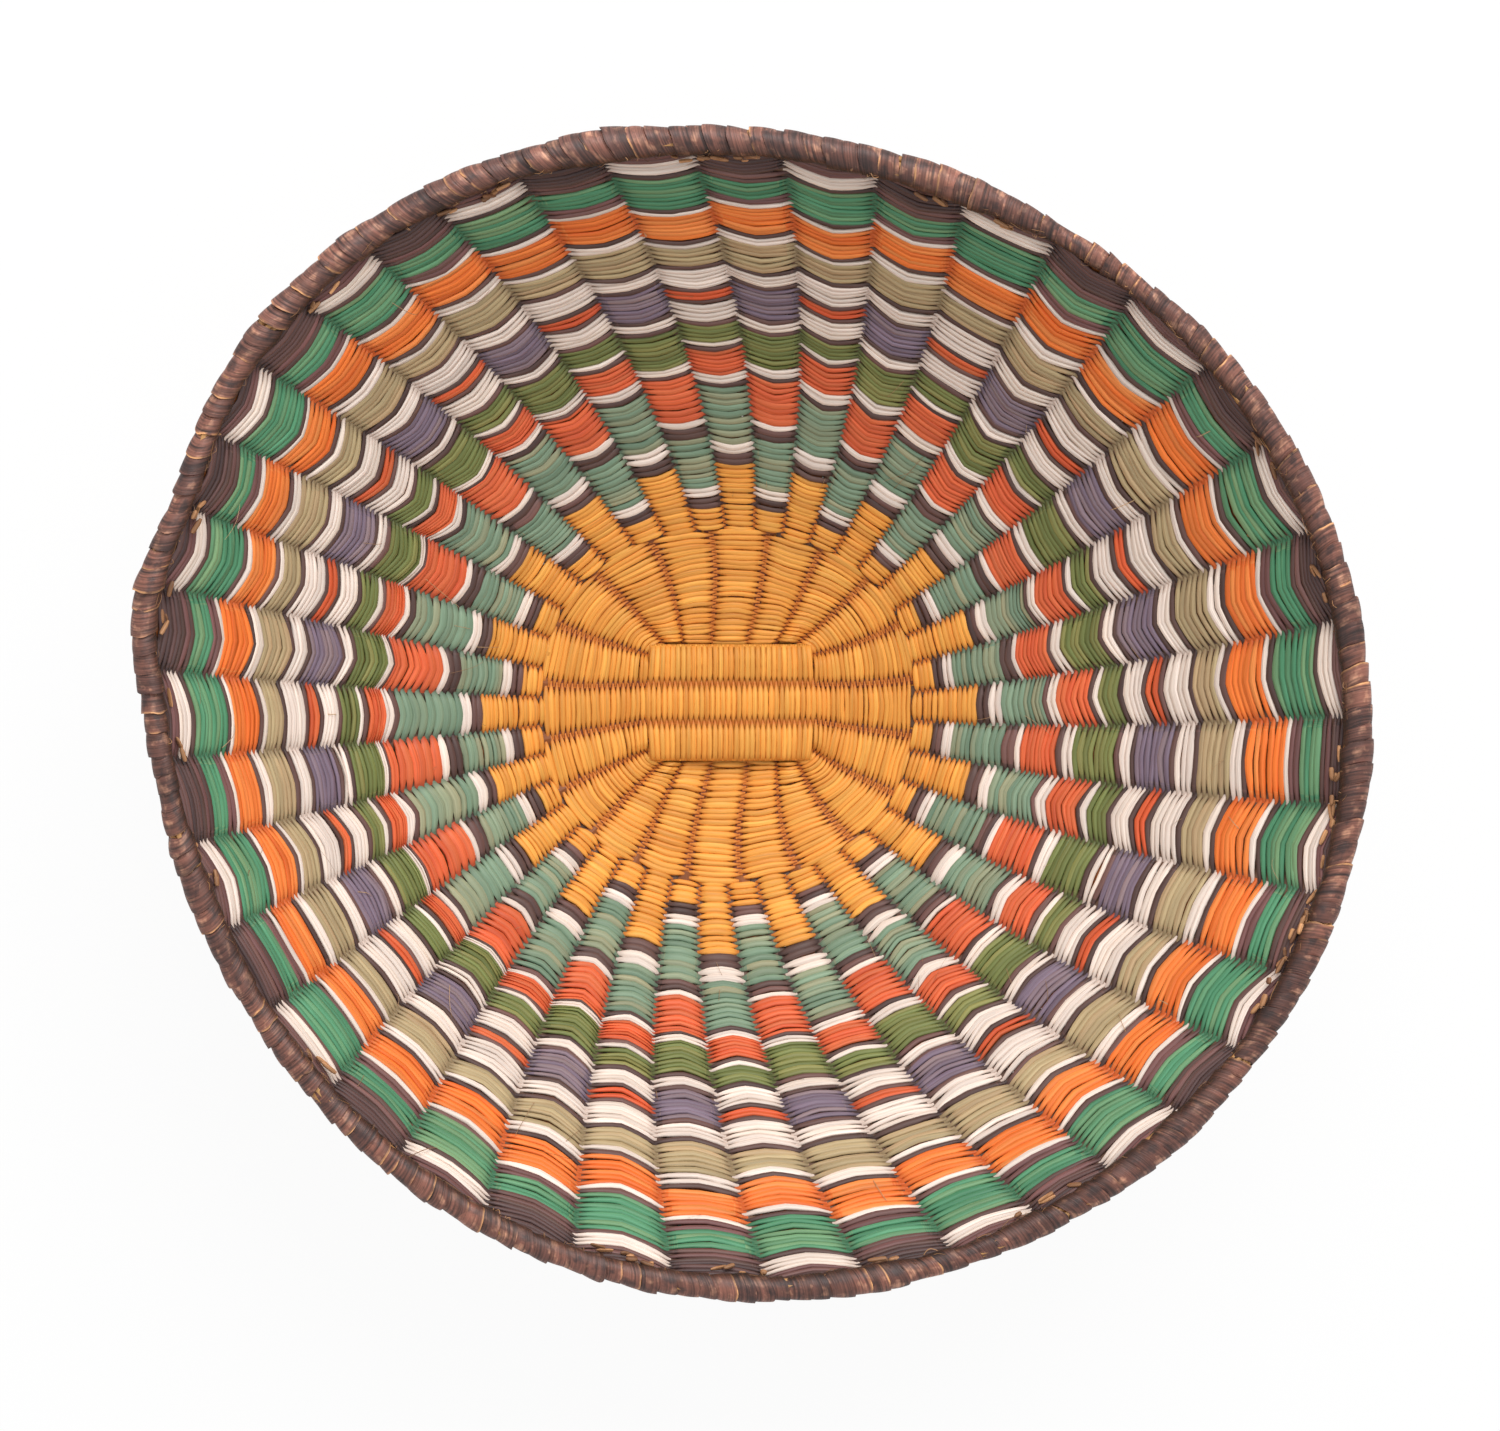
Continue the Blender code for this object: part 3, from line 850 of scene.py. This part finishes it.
def strand_material(name, colour, dark, valley_painted_shade, odd=None, vary=0.16, contrast=0.2):
    """Dyed reed: fine fibres along the strand, tones that change from strand to strand, and painted
    shade where it dips deep in the weave.
    """
    tree = StrandTree(name, seed_step=37)
    fine = tree.grain((60, 60, 3600), 3)
    # Dull and fresh in patches along the strand
    patch = tree.ramp(tree.grain((34, 34, 300), 2), 0.5 - 1.6 * vary, 0.5 + 1.2 * vary)
    tone = tree.blend(patch, linear(*dark), linear(*colour))
    # The odd colour on some arcs: another draw, made from the number of the arc
    drawn = tree.math("FRACT", tree.math("MULTIPLY", tree.arc, 7.3))
    tone = tree.blend(tree.ramp(drawn, 0.45, 1, 0, 0.7), tone, linear(*(odd or dark)))
    # Streaks along the fibre, and arcs that are lighter or darker as a whole
    streak = tree.ramp(fine, 0.3, 0.7, 1 - contrast, 1 + contrast)
    level = tree.math("MULTIPLY", streak, tree.ramp(tree.arc, 0, 1, 0.86, 1.12))
    # Painted shade deep in the weave, where the strand changes sides: the dye gives way to a darker
    # colour
    away = tree.math("ABSOLUTE", tree.over)
    away = tree.ramp(away, -0.25, 0.75, interpolation_type="SMOOTHSTEP")
    tone = tree.blend(away, linear(*valley_painted_shade), tree.scaled(tone, level))
    shader = tree.surface(tone, tree.ramp(fine, 0, 1, 0.38, 0.62), fine, 0.6, 0.00012)
    shader.inputs["Specular IOR Level"].default_value = 0.32
    return tree.owner


def wrap_material(name):
    """Bark strip: lines along it, worn pale patches, dark ones, a pale edge, and painted shade on
    the inner side.
    """
    tree = StrandTree(name, seed_step=53)
    inward = tree.add("SeparateXYZ", {0: tree.fibre}).outputs["X"]
    fine = tree.grain((60, 1, 1700), 4)
    coarse = tree.grain((50, 1, 620), 2)
    patch = tree.grain((230, 1, 230), 3)
    # A tone of its own for each strip, then pale patches, dark ones and dark lines
    tone = tree.blend(tree.ramp(tree.arc, 0, 1), linear(88, 54, 46), linear(134, 85, 70))
    tone = tree.blend(tree.ramp(patch, 0.55, 0.7, 0, 0.75), tone, linear(200, 146, 118))
    tone = tree.blend(tree.ramp(patch, 0.46, 0.34, 0, 0.8), tone, linear(54, 35, 33))
    tone = tree.blend(tree.ramp(coarse, 0.5, 0.32, 0, 0.8), tone, linear(48, 28, 26))
    # The pale edge, on some strips and in places
    edge = tree.ramp(tree.over, 0.8, 0.95)
    edge = tree.math("MULTIPLY", edge, tree.ramp(tree.arc, 0.55, 0.75))
    edge = tree.math("MULTIPLY", edge, tree.ramp(patch, 0.4, 0.55))
    tone = tree.blend(edge, tone, linear(220, 160, 108))
    # Fine lines, and painted shade that darkens the strip towards the inner side of the rim
    lines = tree.ramp(fine, 0.34, 0.66, 0.4, 1.46)
    inner_painted_shade = tree.ramp(inward, 0.001, 0.0072, 0.26, 1)
    tone = tree.scaled(tone, tree.math("MULTIPLY", lines, inner_painted_shade))
    tree.surface(tone, tree.ramp(fine, 0.3, 0.7, 0.62, 0.42), fine, 0.9, 0.0003)
    return tree.owner


def rib_material(name):
    """Bare reed on solids without the strands' attributes."""
    tree = Tree(bpy.data.materials.new(name))
    place = tree.add("TexCoord", {}).outputs["Object"]
    fine = tree.add("TexNoise", {"Scale": 900, "Detail": 4, "Vector": place}).outputs["Fac"]
    patch = tree.add("TexNoise", {"Scale": 60, "Vector": place}).outputs["Fac"]
    tone = tree.blend(patch, linear(98, 50, 22), linear(158, 90, 38))
    tree.surface(tone, tree.ramp(fine, 0, 1, 0.45, 0.7), fine, 0.6, 0.00015)
    return tree.owner


# Each dye where it is fresh, where it is dull, its painted shade deep in the weave, and on odd
# strands, in bytes
dyes_and_painted_shades = {
    "gold": ((240, 173, 80), (222, 140, 56), (194, 106, 44), (226, 146, 60)),
    "teal": ((132, 154, 128), (102, 128, 106), (86, 106, 88), (164, 154, 120)),
    "coral": ((226, 107, 64), (202, 84, 50), (172, 70, 44), (208, 108, 66)),
    "olive": ((122, 130, 76), (94, 102, 54), (76, 82, 46), (146, 140, 84)),
    "white": ((238, 222, 210), (220, 202, 190), (200, 180, 168), (224, 206, 190)),
    "khaki": ((186, 166, 126), (160, 138, 104), (132, 112, 84), (182, 150, 114)),
    "orange": ((238, 126, 54), (218, 98, 38), (186, 82, 34), (232, 146, 78)),
    "red": ((220, 98, 56), (194, 76, 44), (162, 62, 38), (208, 108, 64)),
    "green": ((90, 150, 112), (62, 120, 86), (54, 100, 72), (134, 160, 114)),
    "purple": ((134, 116, 132), (104, 88, 102), (82, 70, 80), (146, 124, 122)),
    "brown": ((98, 74, 68), (66, 48, 46), (54, 40, 38), (122, 86, 80)),
    # Brown with painted shade, for the rows by and under the rim
    "umber": ((92, 70, 68), (60, 46, 47), (46, 35, 35), (112, 80, 76)),
    "maroon": ((126, 86, 84), (94, 64, 62), (74, 50, 48), (116, 86, 80)),
}
materials = {name: strand_material(f"{name}_reed", *dye_and_painted_shade) for name, dye_and_painted_shade in dyes_and_painted_shades.items()}

# The pieces, each with the nodes of the CAD model that it stands for

# The side reeds: reed beside the ribs, in a dark brown that is partly painted shade for the gaps
# between strands
inner_side_reed = strand_material("inner_side_reed", (124, 58, 28), (92, 42, 22), (70, 34, 18))
wall_side_reed = strand_material("wall_side_reed", (112, 82, 64), (78, 56, 46), (60, 44, 38))
inner_reeds.make("inner_side_reeds", inner_side_reed, "rib")
wall_reeds.make("wall_side_reeds", wall_side_reed, "rib")

stands_for = {
    ("gold", "inner_main"): ["centre_weft_main_1", "centre_weft_main_2"],
    ("gold", "inner_added"): ["centre_weft_between_1", "centre_weft_between_2"],
    ("gold", "upper_panel"): ["crosswise_panel_weft"],
    ("gold", "lower_panel"): ["lengthwise_panel_weft"],
}
for colour in ("gold", "teal", "coral", "white", "orange", "green"):
    stands_for[(colour, "main")] = [f"{colour}_weft_main"]
for colour in ("gold", "teal", "coral", "olive", "purple", "khaki", "brown"):
    stands_for[(colour, "added")] = [f"{colour}_weft_added"]
# Near slot names for the strand colours that have none of their own
slots = {"red": "orange_weft", "maroon": "brown_weft", "umber": "brown_weft"}
for (colour, kind), batch in batches.items():
    batch.make(
        f"{colour}_strands_{kind}",
        materials[colour],
        slots.get(colour, f"{colour}_weft"),
        stands_for.get((colour, kind), ()),
    )

rim_rod_reed = strand_material("rim_rod_reed", (206, 158, 104), (160, 112, 66), (90, 56, 30))
rim_end_reed = strand_material(
    "rim_end_reed", (206, 152, 106), (104, 66, 46), (90, 56, 30), (72, 46, 36), 0.1, 0.4
)
rim_fibre = strand_material("rim_fibre", (196, 144, 96), (70, 48, 42), (60, 40, 32))
wall_fibre = strand_material("wall_fibre", (206, 170, 128), (120, 84, 60), (90, 60, 44))
rim_bundle().make("rim_rods", rim_rod_reed, "rim_core", ["rim_core"])
rim_wraps().make("rim_wraps", wrap_material("rim_wrap_reed"), "rim_binding", ["rim_binding"])
rim_ends().make("rim_rod_ends", rim_end_reed, "rim_core")
rim_fibres().make("rim_fibres", rim_fibre, "rim_binding")
wall_fibres().make("wall_fibres", wall_fibre, "white_weft")

# The ribs keep their CAD solids
rib_reed = rib_material("rib_reed")
for name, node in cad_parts.items():
    if "_rib_" in name:
        for slot in node.material_slots:
            slot.material = rib_reed

# The floor: pale where the basket stands, and the white of the background further out
floor_half = 6
clear_middle = (0.011, -0.006, 0)
clear_start, clear_end = 0.175, 0.197
white_share = 0.93
paper_level = 0.85
corners = [(-1, -1), (1, -1), (1, 1), (-1, 1)]
floor_mesh = bpy.data.meshes.new("floor")
floor_mesh.from_pydata(
    [(x * floor_half, y * floor_half, 0) for x, y in corners], [], [(0, 1, 2, 3)]
)
floor = show("floor", floor_mesh)
tree = Tree(bpy.data.materials.new("paper"))
paper = tree.nodes["Principled BSDF"]
paper.inputs["Base Color"].default_value = (paper_level, paper_level, paper_level, 1)
paper.inputs["Roughness"].default_value = 0.9
where = tree.add("NewGeometry", {}).outputs["Position"]
distance = tree.add("VectorMath", {0: where, 1: clear_middle}, operation="DISTANCE")
beyond = tree.ramp(distance.outputs["Value"], clear_start, clear_end, 0, white_share)
white = tree.add("Emission", {}).outputs["Emission"]
share = tree.math("MULTIPLY", tree.background_rays(), beyond)
both = tree.add("MixShader", {0: share, 1: paper.outputs["BSDF"], 2: white})
tree.give(tree.nodes["Material Output"].inputs["Surface"], both.outputs["Shader"])
floor_mesh.materials.append(tree.owner)

# The sky: even light all round, and white as a background
sky_level = 0.74
world = bpy.data.worlds.new("studio")
bpy.context.scene.world = world
tree = Tree(world)
tree.nodes["Background"].inputs["Color"].default_value = (1, 1, 1, 1)
sky = tree.ramp(tree.background_rays(), 0, 1, sky_level, 1)
tree.give(tree.nodes["Background"].inputs["Strength"], sky)

# The lamp, behind the top of the photograph and a little to its right
lamp_place = Vector((0.35, 1.9, 1.9))
lamp_size, lamp_power = 2.2, 64
light = bpy.data.lights.new("key", "AREA")
light.shape = "DISK"
light.size = lamp_size
light.energy = lamp_power
lamp = show("key", light)
lamp.location = lamp_place
lamp.rotation_euler = (-lamp_place).to_track_quat("-Z", "Y").to_euler()

# The camera, nearly straight above
eye = Vector((-0.152, 0.087, 1.665))
target = Vector((-0.0027, 0.001, 0.110))
roll = 0.004
focal_pixels = 4813.6
photo_width = 1500
sensor_width = 36
ahead = (target - eye).normalized()
right = ahead.cross(Vector((0, 1, 0))).normalized()
above = right.cross(ahead)
right, above = (
    right * math.cos(roll) + above * math.sin(roll),
    above * math.cos(roll) - right * math.sin(roll),
)
camera_data = bpy.data.cameras.new("camera")
camera_data.sensor_fit = "HORIZONTAL"
camera_data.sensor_width = sensor_width
camera_data.lens = sensor_width * focal_pixels / photo_width
camera = show("camera", camera_data)
camera.matrix_world = Matrix((
    (right.x, above.x, -ahead.x, eye.x),
    (right.y, above.y, -ahead.y, eye.y),
    (right.z, above.z, -ahead.z, eye.z),
    (0, 0, 0, 1),
))
bpy.context.scene.camera = camera
bpy.context.scene.view_settings.view_transform = "Standard"
